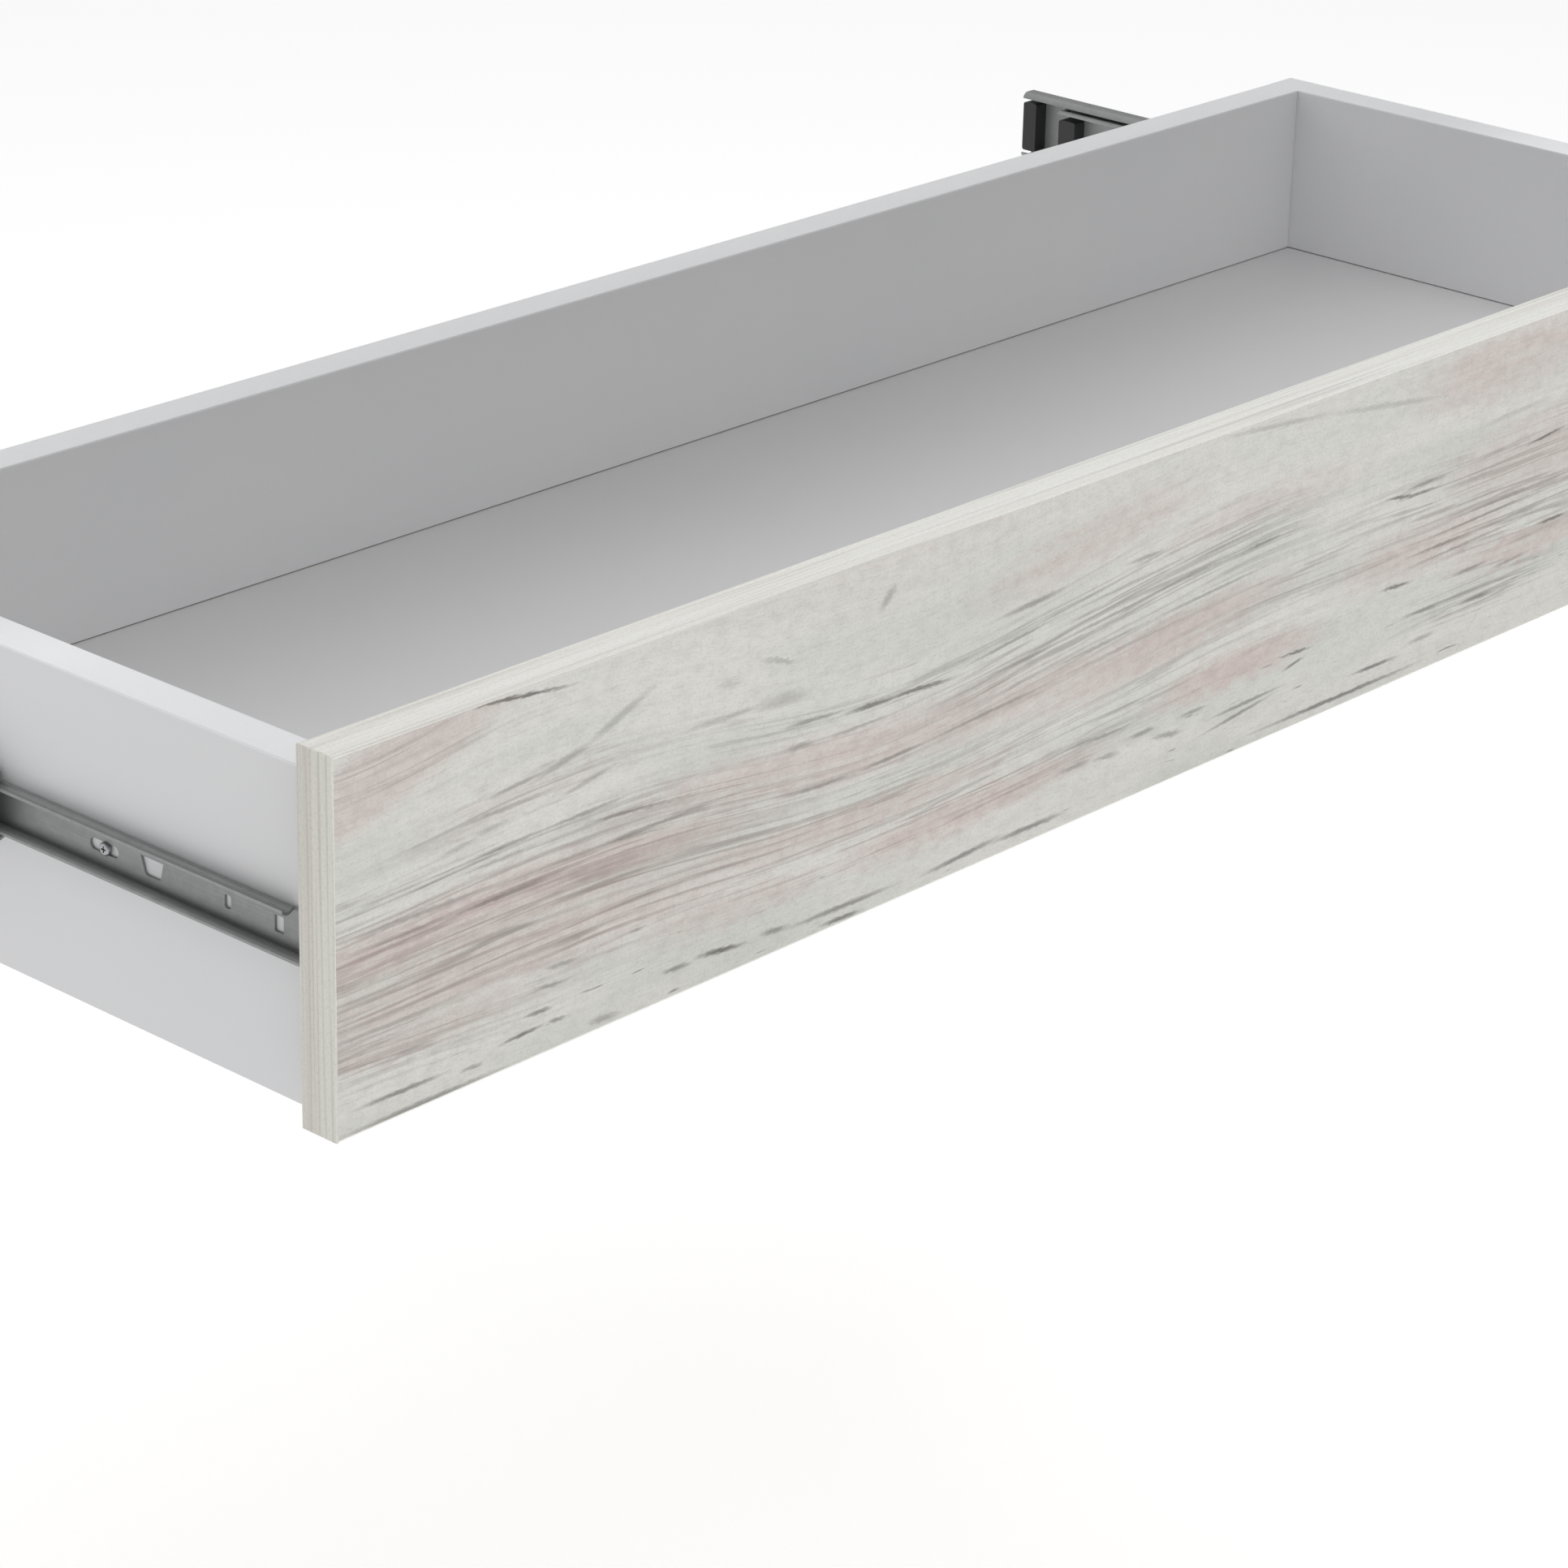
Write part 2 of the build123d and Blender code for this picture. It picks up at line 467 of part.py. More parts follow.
def tongue_window():
    """The window left by the bent-out tongue: wide at the top, narrow at the bottom."""
    top, bottom = TONGUE_HALF_HEIGHT, -TONGUE_HALF_HEIGHT
    face = make_face(Polyline((TONGUE_TOP[0], top), (TONGUE_TOP[1], top), (TONGUE_BOTTOM[1], bottom),
                              (TONGUE_BOTTOM[0], bottom), close=True))
    face = fillet(face.vertices().group_by(Axis.Y)[0], TONGUE_CORNER)
    return extrude(facing_in(0, 0, CUT_START_U) * face, amount=RUNNER_GAP)


def flange_corner():
    """What rounding takes off the front outer corner of the lower flange."""
    x, y = -HALF_OPENING + RUNNER_GAP - DRAWER_MEMBER_DEPTH, RUNNER_START
    square = Pos(x, y) * Rectangle(FLANGE_CORNER, FLANGE_CORNER, align=(Align.MIN, Align.MIN))
    outline = square - Pos(x + FLANGE_CORNER, y + FLANGE_CORNER) * Circle(FLANGE_CORNER)
    return Pos(0, 0, -HALF_DRAWER_MEMBER) * extrude(outline, amount=FLANGE_CORNER_CUT)


def drawer_member():
    """C section that opens outwards, with a race pressed into each flange."""
    inside = HALF_DRAWER_MEMBER - SHEET
    flange_end = RUNNER_GAP - DRAWER_MEMBER_DEPTH
    half = strip(DRAWER_WEB_U, RUNNER_GAP, 0, HALF_DRAWER_MEMBER)
    half += strip(flange_end, RUNNER_GAP, inside, HALF_DRAWER_MEMBER)
    race = disc(INNER_BALL_U, INNER_BALL_W, RACE_RADIUS + SHEET)
    half += race & strip(flange_end, RUNNER_GAP, 0, inside + SHEET / 2)
    half -= disc(INNER_BALL_U, INNER_BALL_W, RACE_RADIUS)
    half = bent(half, RUNNER_GAP, HALF_DRAWER_MEMBER, DRAWER_BEND)
    member = along_runner(both_ways(half), RUNNER_START, DRAWER_LENGTH)
    member += lug(INNER_BALL_U, HALF_DRAWER_MEMBER - DRAWER_RACE_DEPTH - DRAWER_LUG[0],
                  HALF_DRAWER_MEMBER + DRAWER_LUG[1], RUNNER_START + DRAWER_LENGTH - LUG_INSET - LUG_LENGTH)
    member -= block((-HALF_OPENING, 0, inside - DRAWER_TAB_CUT),
                    (-HALF_OPENING + DRAWER_WEB_U, DRAWER_FLANGE_START, CABINET_HEIGHT))
    member = member - flange_corner() - tongue_window()
    for slot in DRAWER_MEMBER_SLOTS:
        member -= web_slot(*slot)
    for y in MEMBER_SCREW_Y[1:]:
        member -= web_hole(y, SCREW_RADIUS + SCREW_CLEARANCE)
    return member - web_hole(LEVER_PIVOT_Y, RIVET_RADIUS + FIT)


def ball_places(span, u, w):
    """The centres of the balls of one cage: an upper and a lower row."""
    first, last = span[0] + CAGE_MARGIN, span[1] - CAGE_MARGIN
    pitch = (last - first) / (BALLS_PER_ROW - 1)
    return [(-HALF_OPENING + u, first + i * pitch, side * w)
            for side in (-1, 1) for i in range(BALLS_PER_ROW)]


def ball_cage(depths, span, ball_u, ball_w):
    """A C-shaped strip with a round pocket for each ball and windows in its web."""
    half_sheet = CAGE_SHEET / 2
    half = strip(depths[0], depths[0] + CAGE_SHEET, 0, ball_w + half_sheet)
    half += strip(depths[0], depths[1], ball_w - half_sheet, ball_w + half_sheet)
    cage = along_runner(both_ways(half), span[0], span[1] - span[0])
    for x, y, z in ball_places(span, ball_u, ball_w):
        cage -= rod((x, y, z - BALL_RADIUS), (0, 0, 1), BALL_RADIUS + POCKET_PLAY, 2 * BALL_RADIUS)
    middle = (span[0] + span[1]) / 2
    for step in (-1, 0, 1):
        cage -= web_slot(middle + step * CAGE_WINDOW_PITCH, CAGE_WINDOW_LENGTH,
                         ball_w * CAGE_WINDOW_SHARE, CAGE_WINDOW_CORNER, depth=depths[0] + 2 * CAGE_SHEET)
    return cage


def balls(span, u, w):
    return [Pos(*place) * Sphere(BALL_RADIUS) for place in ball_places(span, u, w)]


def bumper(face_u, end_u, half_height, span, peg_y, web):
    """A soft plastic buffer, held by a peg through the web behind it."""
    left = -HALF_OPENING
    body = block((left + face_u, span[0] + BUMPER_PLAY, -half_height),
                 (left + end_u, span[1] - BUMPER_PLAY, half_height))
    body = fillet(body.edges().filter_by(Axis.X), BUMPER_CORNER)
    return body + rod((left + face_u - web, peg_y, 0), (1, 0, 0), PEG_RADIUS, 2 * web)


def lever_rivet():
    """The shouldered rivet that the release lever turns on."""
    head_face = LEVER_U[0] - RIVET_PLAY
    start = (-HALF_OPENING + head_face, LEVER_PIVOT_Y, 0)
    shank = rod(start, (1, 0, 0), RIVET_RADIUS, RUNNER_GAP - head_face)
    head = rod(start, (-1, 0, 0), RIVET_HEAD_RADIUS, RIVET_HEAD)
    crown = head.edges().filter_by(GeomType.CIRCLE).sort_by(Axis.X)[0]
    return shank + fillet(crown, RIVET_HEAD - RIVET_PLAY)


def release_lever():
    """The plastic lever that frees the drawer member, inside its channel."""
    pad_length, pad_height = LEVER_PAD
    pad_end = LEVER_REACH + LEVER_PAD_PAST
    outline = Circle(LEVER_EYE) + Pos(LEVER_REACH / 2, 0) * Rectangle(LEVER_REACH, 2 * LEVER_HALF_ARM)
    outline += Pos(pad_end - pad_length / 2, 0) * RectangleRounded(pad_length, pad_height, LEVER_PAD_CORNER)
    outline -= Circle(RIVET_RADIUS + RUNNING)
    lever = extrude(facing_in(LEVER_PIVOT_Y, 0, LEVER_U[0]) * outline, amount=LEVER_U[1] - LEVER_U[0])
    face = -HALF_OPENING + LEVER_U[0]
    first = LEVER_PIVOT_Y + pad_end - pad_length / 2 - GRIP_PITCH * GRIP_COUNT / 2
    for step in range(GRIP_COUNT):
        y = first + GRIP_PITCH * step
        lever -= block((face, y, -pad_height), (face + GRIP_DEPTH, y + GRIP_WIDTH, pad_height))
    return lever


def left_runner():
    """The pieces of the left runner, each with its share of the rest opening."""
    cabinet_end = RUNNER_START + CABINET_LENGTH
    middle_end = INTERMEDIATE_START + INTERMEDIATE_LENGTH
    drawer_end = RUNNER_START + DRAWER_LENGTH
    return {
        "cabinet_member": (cabinet_member(), 0),
        "cabinet_bumper": (bumper(CABINET_SHEET, CABINET_BUMPER_U, CABINET_BUMPER_HALF,
                                  (middle_end, cabinet_end), CABINET_PEG_Y, CABINET_SHEET), 0),
        "intermediate_member": (intermediate_member(), INTERMEDIATE_OUT),
        "intermediate_bumper": (bumper(INTERMEDIATE_U + SHEET, INTERMEDIATE_BUMPER_U,
                                       INTERMEDIATE_BUMPER_HALF, (drawer_end, middle_end),
                                       INTERMEDIATE_PEG_Y, SHEET), INTERMEDIATE_OUT),
        "drawer_member": (drawer_member(), DRAWER_OUT),
        "drawer_member_screws": ([member_screw(y) for y in MEMBER_SCREW_Y], DRAWER_OUT),
        "outer_ball_cage": (ball_cage(OUTER_CAGE_U, OUTER_CAGE_Y, OUTER_BALL_U, OUTER_BALL_W),
                            OUTER_CAGE_OUT),
        "outer_balls": (balls(OUTER_CAGE_Y, OUTER_BALL_U, OUTER_BALL_W), OUTER_CAGE_OUT),
        "inner_ball_cage": (ball_cage(INNER_CAGE_U, INNER_CAGE_Y, INNER_BALL_U, INNER_BALL_W),
                            INNER_CAGE_OUT),
        "inner_balls": (balls(INNER_CAGE_Y, INNER_BALL_U, INNER_BALL_W), INNER_CAGE_OUT),
        "release_lever": (release_lever(), DRAWER_OUT),
        "lever_rivet": (lever_rivet(), DRAWER_OUT),
    }


# ---- assembly -----------------------------------------------------------------------
def drawer_box():
    """The pieces in the middle of the drawer, which have no left or right."""
    to_front = (0, 1, 0)
    caps = [cap(start, (-direction[0], -direction[1], 0)) for start, direction in CONFIRMATS]
    return {
        "front_panel": front_panel(),
        **front_bands(),
        "back_panel": back_panel(),
        "back_top_edge_band": top_band((-HALF_INSIDE, BACK_INSIDE, SIDE_TOP - BOX_BAND),
                                       (HALF_INSIDE, BACK_FACE, SIDE_TOP), Axis.X),
        "bottom_panel": floor_slab(GROOVE_DEPTH - FLOOR_SHORT, 0, 0),
        "bottom_batten": batten(),
        "cam_bolts": [cam_bolt(x, z) for x, z in CAM_PLACES],
        "cam_locks": [cam_lock(x, z) for x, z in CAM_PLACES],
        "front_dowels": [dowel((x, BOARD - DOWEL_IN_BOARD, z), to_front) for x, z in DOWELS_TO_FRONT],
        "back_dowels": [dowel(start, direction) for start, direction in DOWELS_TO_BACK],
        "confirmat_screws": [confirmat(start, direction) for start, direction in CONFIRMATS],
        "confirmat_caps": caps,
    }


def moved_out(shapes, distance):
    """One shape, or a list of separate solids grouped as one node, moved out along -Y."""
    shift = Pos(0, -distance, 0)
    if isinstance(shapes, list):
        return Compound([solid for shape in shapes for solid in (shift * shape).solids()])
    return shift * shapes


def all_nodes():
    nodes = {name: moved_out(shape, DRAWER_OUT) for name, shape in drawer_box().items()}
    handed = {"side_panel": (left_side_panel(), DRAWER_OUT)}
    handed.update({name: (shape, DRAWER_OUT) for name, shape in left_side_bands().items()})
    handed.update(left_runner())
    for name, (shape, distance) in handed.items():
        left = moved_out(shape, distance)
        nodes["left_" + name] = left
        nodes["right_" + name] = mirror(left, about=Plane.YZ)
    return nodes


os.makedirs("parts", exist_ok=True)
for node_name, node_shape in all_nodes().items():
    export_step(node_shape, f"parts/{node_name}.step")
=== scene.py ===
import json
import math

import bpy
from mathutils import Matrix, Vector


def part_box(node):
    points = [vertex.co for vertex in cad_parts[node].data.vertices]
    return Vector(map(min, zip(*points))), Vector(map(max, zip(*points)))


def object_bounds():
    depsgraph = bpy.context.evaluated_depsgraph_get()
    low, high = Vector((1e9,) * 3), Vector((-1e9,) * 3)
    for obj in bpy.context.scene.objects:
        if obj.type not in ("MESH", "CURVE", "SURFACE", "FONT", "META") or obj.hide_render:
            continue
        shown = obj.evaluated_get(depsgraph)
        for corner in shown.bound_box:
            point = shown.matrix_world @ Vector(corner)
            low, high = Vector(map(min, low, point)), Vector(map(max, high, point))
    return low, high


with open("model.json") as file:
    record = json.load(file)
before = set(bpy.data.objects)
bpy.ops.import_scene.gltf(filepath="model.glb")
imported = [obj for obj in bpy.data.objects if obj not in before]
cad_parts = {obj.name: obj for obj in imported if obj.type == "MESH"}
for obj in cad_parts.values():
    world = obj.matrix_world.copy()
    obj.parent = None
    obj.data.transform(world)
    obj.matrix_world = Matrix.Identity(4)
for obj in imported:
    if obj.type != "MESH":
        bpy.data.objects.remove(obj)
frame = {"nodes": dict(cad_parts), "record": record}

CAD_BOX = [list(corner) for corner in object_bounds()]
MM = 1000   # millimetres in a metre

# The front's lower left corner, which the print and the camera are measured from.
FRONT_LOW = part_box("front_edge_band_left")[0]


# ---- node trees -------------------------------------------------------------------------
# The Mix node's sockets for its factor, its two colours and its result.
MIX_FACTOR, MIX_FIRST, MIX_SECOND, MIX_RESULT = 0, 6, 7, 2


class Tree:
    """A material's node tree, with one short method for each kind of node it needs."""

    def __init__(self, name):
        self.material = bpy.data.materials.new(name)
        self.material.use_nodes = True
        self.tree = self.material.node_tree
        self.tree.nodes.clear()
        coordinates = self.add("ShaderNodeTexCoord").outputs
        self.place, self.facing = coordinates["Object"], coordinates["Normal"]

    def add(self, kind, inputs=None, **settings):
        node = self.tree.nodes.new(kind)
        for key, value in settings.items():
            setattr(node, key, value)
        for key, value in (inputs or {}).items():
            if isinstance(value, bpy.types.NodeSocket):
                self.tree.links.new(value, node.inputs[key])
            else:
                node.inputs[key].default_value = value
        return node

    def math(self, operation, *values):
        return self.add("ShaderNodeMath", dict(enumerate(values)), operation=operation).outputs[0]

    def split(self, vector):
        return self.add("ShaderNodeSeparateXYZ", {0: vector}).outputs

    def join(self, x, y, z):
        return self.add("ShaderNodeCombineXYZ", {0: x, 1: y, 2: z}).outputs[0]

    def stretch(self, vector, scale, shift=(0, 0, 0)):
        inputs = {0: vector, 1: scale, 2: shift}
        return self.add("ShaderNodeVectorMath", inputs, operation="MULTIPLY_ADD").outputs[0]

    def noise(self, vector, scale=1.0, detail=2.0, roughness=0.5, distortion=0.0):
        inputs = {"Vector": vector, "Scale": scale, "Detail": detail, "Roughness": roughness,
                  "Distortion": distortion}
        return self.add("ShaderNodeTexNoise", inputs).outputs[0]

    def step(self, value, low, high, out_low=0.0, out_high=1.0):
        """A smooth step from out_low to out_high as value goes from low to high."""
        inputs = {"Value": value, "From Min": low, "From Max": high, "To Min": out_low,
                  "To Max": out_high}
        return self.add("ShaderNodeMapRange", inputs, interpolation_type="SMOOTHSTEP").outputs[0]

    def mix(self, factor, first, second):
        inputs = {MIX_FACTOR: factor, MIX_FIRST: rgba(first), MIX_SECOND: rgba(second)}
        return self.add("ShaderNodeMix", inputs, data_type="RGBA").outputs[MIX_RESULT]

    def ink(self, colour, mask, strength, pigment):
        """The colour with pigment over it, as strongly as the mask says."""
        return self.mix(self.math("MULTIPLY", mask, strength), colour, pigment)

    def bump(self, height, distance, strength=0.5):
        inputs = {"Height": height, "Distance": distance, "Strength": strength}
        return self.add("ShaderNodeBump", inputs).outputs[0]

    def surface(self, colour, roughness, normal=None, **constants):
        inputs = {"Base Color": rgba(colour), "Roughness": roughness}
        if normal is not None:
            inputs["Normal"] = normal
        inputs.update({key.replace("_", " "): value for key, value in constants.items()})
        shader = self.add("ShaderNodeBsdfPrincipled", inputs)
        self.add("ShaderNodeOutputMaterial", {0: shader.outputs[0]})
        return self.material


def rgba(colour):
    """A colour with its alpha; a socket stays as it is."""
    return (*colour, 1.0) if isinstance(colour, tuple) else colour


def srgb(red, green, blue):
    """Linear colour from 0-255 display values."""
    def linear(value):
        value /= 255
        return value / 12.92 if value <= 0.04045 else ((value + 0.055) / 1.055) ** 2.4
    return tuple(linear(value) for value in (red, green, blue))


# ---- whitewashed oak --------------------------------------------------------------------
WASH_PALE, WASH_SAGE, WASH_PINK = srgb(230, 229, 223), srgb(218, 220, 213), srgb(213, 198, 194)
GRAIN_GREY, GRAIN_ROSE, CRACK_GREY = srgb(140, 134, 129), srgb(147, 129, 123), srgb(92, 88, 83)

# The print is laid out in millimetres: x along the front, z up it. Its grain is level at the
# left end, sinks, and climbs again: from x, to x, how far it sinks.
GRAIN_BENDS = [(110, 255, 11), (255, 470, -14)]
# Over this length of the left end, the grain draws together round this height.
FAN_HEIGHT, FAN_LENGTH, FAN_SQUEEZE = 50.0, 90, 0.9
# Evenly spaced ribs, in radians a millimetre, and the ellipse that they fill.
RIB_RATE, RIB_CENTRE, RIB_HALF = 1.43, (40, 51), (190, 28)
# The pink wedge in the upper left corner.
WEDGE_CENTRE, WEDGE_HALF, WEDGE_SLOPE = (22, 119), (72, 15), -0.30

# Soft pink clouds: centre x and height, half length, half height, strength. A height is where
# the cloud's grain line starts, at the left end.
PINK_CLOUDS = [
    (70, 58, 150, 13, 1.0), (80, 40, 140, 12, 0.8), (230, 71, 130, 11, 0.8), (225, 45, 120, 9, 0.8),
    (180, 28, 55, 8, 0.8), (300, 29, 90, 9, 0.9), (330, 64, 80, 8, 0.7), (410, 56, 90, 10, 0.9),
    (365, 105, 75, 11, 0.6), (452, 35, 60, 8, 1.0), (15, 28, 90, 9, 0.7), (620, 106, 70, 15, 0.8),
    (570, 50, 70, 12, 0.7), (640, 36, 60, 7, 0.9), (780, 60, 130, 16, 0.9), (850, 24, 80, 10, 0.8),
    (640, 68, 75, 20, 0.6), (470, 88, 80, 8, 0.45), (80, 89, 60, 7, 0.35), (250, 127, 150, 12, 0.2),
]
# Where the grain lines gather, in the same terms.
LINE_BUNDLES = [
    (50, 68, 260, 16, 1.0), (80, 46, 230, 17, 1.0), (250, 49, 140, 12, 0.9), (245, 87, 110, 11, 0.7),
    (385, 78, 140, 19, 1.0), (400, 42, 120, 12, 0.7), (610, 64, 120, 18, 0.9), (500, 56, 90, 12, 0.7),
    (280, 34, 170, 10, 0.9), (760, 78, 140, 18, 0.9), (830, 40, 130, 16, 0.9), (610, 26, 60, 10, 1.0),
    (10, 26, 110, 12, 0.9), (20, 116, 80, 12, 0.5), (640, 50, 80, 14, 1.0), (90, 90, 80, 7, 0.6),
]
# Open cracks and smudges: both ends (x, z), half width, darkness.
CRACKS = [
    (56, 130, 103, 125, 0.55, 1.0), (66, 97, 92, 99, 0.6, 0.5), (86, 97, 112, 103, 1.0, 0.4),
    (55, 91, 96, 92, 0.6, 0.45), (150, 94, 195, 93, 0.9, 0.3), (192, 109, 208, 104, 0.8, 0.4),
    (172, 106, 180, 104, 1.6, 0.25), (251, 111.5, 257, 117.5, 1.4, 0.40), (234, 78, 262, 77, 0.7, 0.9),
    (256, 77.5, 290, 75.5, 0.7, 0.9), (295, 78, 345, 83, 0.5, 0.6), (313, 91, 350, 93, 0.9, 0.6),
    (385, 93, 404, 93, 0.7, 0.5), (9, 9, 46, 8.5, 0.7, 0.8), (72, 10, 89, 10.5, 0.6, 0.9),
    (0, 1.5, 74, 1.2, 0.9, 0.7), (163, 11, 185, 8.5, 0.8, 1.0), (208, 7, 262, 6, 0.8, 0.75),
    (225, 2.5, 244, 2, 0.7, 0.9), (278, 5, 318, 7, 0.8, 0.8), (315, 6, 354, 5.5, 0.8, 0.8),
    (355, 30, 392, 29, 0.6, 0.5), (421, 24, 434, 24, 0.6, 0.6), (436, 13, 475, 17, 0.6, 0.7),
    (450, 80, 477, 81, 0.5, 0.6), (544, 78, 560, 76, 0.5, 0.9), (552, 76, 576, 75.5, 0.5, 0.8),
    (636, 78, 662, 80, 0.5, 0.9), (544, 41, 562, 40, 0.6, 0.9), (648, 42, 668, 42, 0.5, 0.9),
    (480, 31, 499, 30, 0.5, 0.9), (483, 25, 494, 27, 0.5, 0.8), (527, 11, 556, 10.5, 0.6, 0.9),
    (466, 4.5, 570, 4, 0.7, 0.9), (438, 128, 505, 122, 0.8, 0.35), (500, 122, 576, 112, 0.9, 0.3),
    (600, 93, 650, 95, 0.9, 0.25), (700, 84, 742, 82, 0.6, 0.8), (716, 30, 752, 29, 0.7, 0.8),
    (770, 10, 822, 9, 0.8, 0.9), (800, 104, 836, 101, 0.6, 0.7), (846, 66, 884, 67, 0.6, 0.8),
    (690, 14, 716, 13, 0.7, 0.7), (862, 20, 900, 18, 0.7, 0.8), (84, 16, 93, 15.5, 0.7, 0.8),
    (55, 6.5, 62, 6, 0.6, 0.6), (88, 24, 100, 23, 0.6, 0.5), (92, 30, 104, 29, 0.6, 0.5),
    (112, 4, 124, 3, 1.0, 0.5), (352, 22, 366, 22, 0.8, 0.5), (372, 21, 384, 20, 0.8, 0.5),
    (392, 24, 404, 24, 0.8, 0.6), (406, 20, 420, 18, 1.0, 0.6), (60, 86, 74, 87, 0.7, 0.4),
    (46, 84, 60, 85, 0.6, 0.35), (98, 88, 122, 92, 0.7, 0.4), (22, 22, 44, 22, 0.5, 0.35),
    (345, 82.5, 430, 87.5, 0.5, 0.4), (300, 70.5, 346, 73, 0.5, 0.4), (344, 73, 400, 77.5, 0.5, 0.5),
    (398, 77.5, 478, 81, 0.5, 0.4), (340, 64, 402, 67.5, 0.6, 0.4), (400, 67.5, 470, 71, 0.5, 0.5),
    (205, 56, 242, 54.5, 0.6, 0.5), (240, 54.5, 276, 55.5, 0.6, 0.6), (274, 55.5, 346, 59, 0.6, 0.5),
    (344, 59, 432, 64, 0.6, 0.35), (575, 59, 665, 60, 0.5, 0.35), (558, 55, 668, 56, 0.5, 0.4),
    (560, 50.5, 602, 50.5, 0.5, 0.7), (600, 50, 660, 51, 0.5, 0.35), (556, 46, 640, 47.5, 0.5, 0.5),
    (580, 73, 618, 73, 0.6, 0.4), (562, 26, 582, 25, 0.6, 0.5), (596, 21.5, 620, 21, 0.6, 0.6),
    (592, 35, 612, 35, 0.7, 0.6), (618, 31, 642, 32, 0.6, 0.5), (556, 79, 580, 79, 0.5, 0.6),
    (110, 102.5, 139, 113.5, 1.3, 0.4), (190, 93, 213, 91.5, 2.0, 0.3), (203, 81.5, 231, 79.5, 0.6, 0.6),
    (205, 73, 217, 72.5, 1.0, 0.5), (225, 71.5, 260, 71, 0.6, 0.4), (58, 78.5, 92, 79, 0.6, 0.5),
    (90, 79, 127, 79.5, 0.6, 0.6), (52, 74.5, 88, 75, 0.5, 0.45), (105, 76, 166, 70, 0.5, 0.45),
    (0, 67.5, 66, 67, 0.7, 0.5), (5, 62.8, 52, 62, 0.7, 0.4), (50, 62, 98, 61.8, 0.7, 0.6),
    (70, 66, 190, 65, 0.6, 0.35), (94, 10.5, 99, 10, 0.7, 0.7), (147, 10.5, 158, 10, 0.8, 0.7),
    (195, 9, 206, 8, 0.9, 0.7), (440, 18, 482, 19, 0.6, 0.7), (565, 14, 580, 14, 0.8, 0.5),
]
# How far a crack's ends run on, and how much wider its soft sides make it.
CRACK_TAPER, CRACK_BLUR = 2, 1.5


class OakPrint(Tree):
    """The front's tree, with the print's x and z, and flow, the height of each grain line."""

    IGNORE = 1e6   # an axis divided by this all but vanishes

    def __init__(self, name):
        super().__init__(name)
        flat = self.stretch(self.place, (MM, MM, MM), tuple(-MM * low for low in FRONT_LOW))
        self.x, _, self.z = self.split(flat)
        self.sway = self.streaks(self.z, along=0.012, across=0.03, seed=3.1, detail=1.0)
        self.wobble = self.streaks(self.z, along=0.10, across=0.35, seed=0.0, detail=3.0)
        self.flow = self.grain_height()

    def grain_height(self):
        """z with the bends, the fan at the left end and a slow sway; lines keep one value."""
        bend = 0.0
        for start, end, sink in GRAIN_BENDS:
            bend = self.math("ADD", bend, self.step(self.x, start, end, 0, sink))
        squeeze = self.step(self.x, 0, FAN_LENGTH, 1.0, FAN_SQUEEZE)
        fanned = self.math("MULTIPLY_ADD", self.math("SUBTRACT", self.z, FAN_HEIGHT), squeeze, FAN_HEIGHT)
        # Near the lower edge the grain bends only a quarter as much.
        share = self.step(self.z, low=15, high=60, out_low=0.25, out_high=1.0)
        bent = self.math("MULTIPLY_ADD", bend, share, fanned)
        return self.math("ADD", bent, self.swing(self.sway, 2.5))

    def swing(self, noise, width):
        """Noise from 0 to 1, spread over this width round zero."""
        return self.math("MULTIPLY_ADD", noise, width, -width / 2)

    def streaks(self, height, along, across, seed, detail=2.0, roughness=0.5):
        """Noise drawn out along the front, where height is z, or flow to follow the grain."""
        vector = self.join(self.math("MULTIPLY", self.x, along), seed,
                           self.math("MULTIPLY", height, across))
        return self.noise(vector, detail=detail, roughness=roughness)

    def add_spot(self, total, x, height, centre, half, angle, edges, strength):
        """The larger of total and a soft ellipse; total rides in y, which the ellipse ignores.

        The ellipse rises from nothing to full between the two edges, which are parts of half.
        """
        inputs = {"Vector": self.join(x, total, height), "Location": (centre[0], 0, centre[1]),
                  "Rotation": (0, angle, 0), "Scale": (half[0], self.IGNORE, half[1])}
        local = self.add("ShaderNodeMapping", inputs, vector_type="TEXTURE").outputs[0]
        reach = self.add("ShaderNodeVectorMath", {0: local}, operation="LENGTH").outputs["Value"]
        return self.math("MAXIMUM", total, self.step(reach, *edges, 0.0, strength))

    def clouds(self, table):
        """Soft ellipses along the grain, with frayed edges."""
        frayed = self.math("ADD", self.flow, self.swing(self.wobble, 14.0))
        total = 0.0
        for x, height, half_length, half_height, strength in table:
            half = (half_length, half_height)
            total = self.add_spot(total, self.x, frayed, (x, height), half, 0.0, (1.2, 0.3), strength)
        return total


def wash(t):
    """Pale, with sage patches that thin out toward the top, and greyer at the lower edge."""
    patches = t.step(t.streaks(t.flow, along=0.008, across=0.05, seed=4.1), 0.35, 0.65)
    sage = t.math("MULTIPLY", patches, t.step(t.z, low=90, high=125, out_low=1.0, out_high=0.35))
    colour = t.mix(sage, WASH_PALE, WASH_SAGE)
    return t.mix(t.step(t.z, low=30, high=0, out_high=0.09), colour, GRAIN_GREY)


def pink_tint(t, mottle):
    """How pink the print is: broken clouds, and a wedge in the upper left corner."""
    broken = t.step(t.streaks(t.flow, along=0.010, across=0.22, seed=9.4, detail=3.0), 0.32, 0.56, 0.6)
    tint = t.math("MULTIPLY", t.clouds(PINK_CLOUDS), broken)
    wavy_z = t.math("ADD", t.z, t.wobble)
    tint = t.add_spot(tint, t.x, wavy_z, WEDGE_CENTRE, WEDGE_HALF, WEDGE_SLOPE, (1.15, 0.5), 0.65)
    return t.math("MULTIPLY", tint, t.step(mottle, 0.3, 0.62, 0.7))


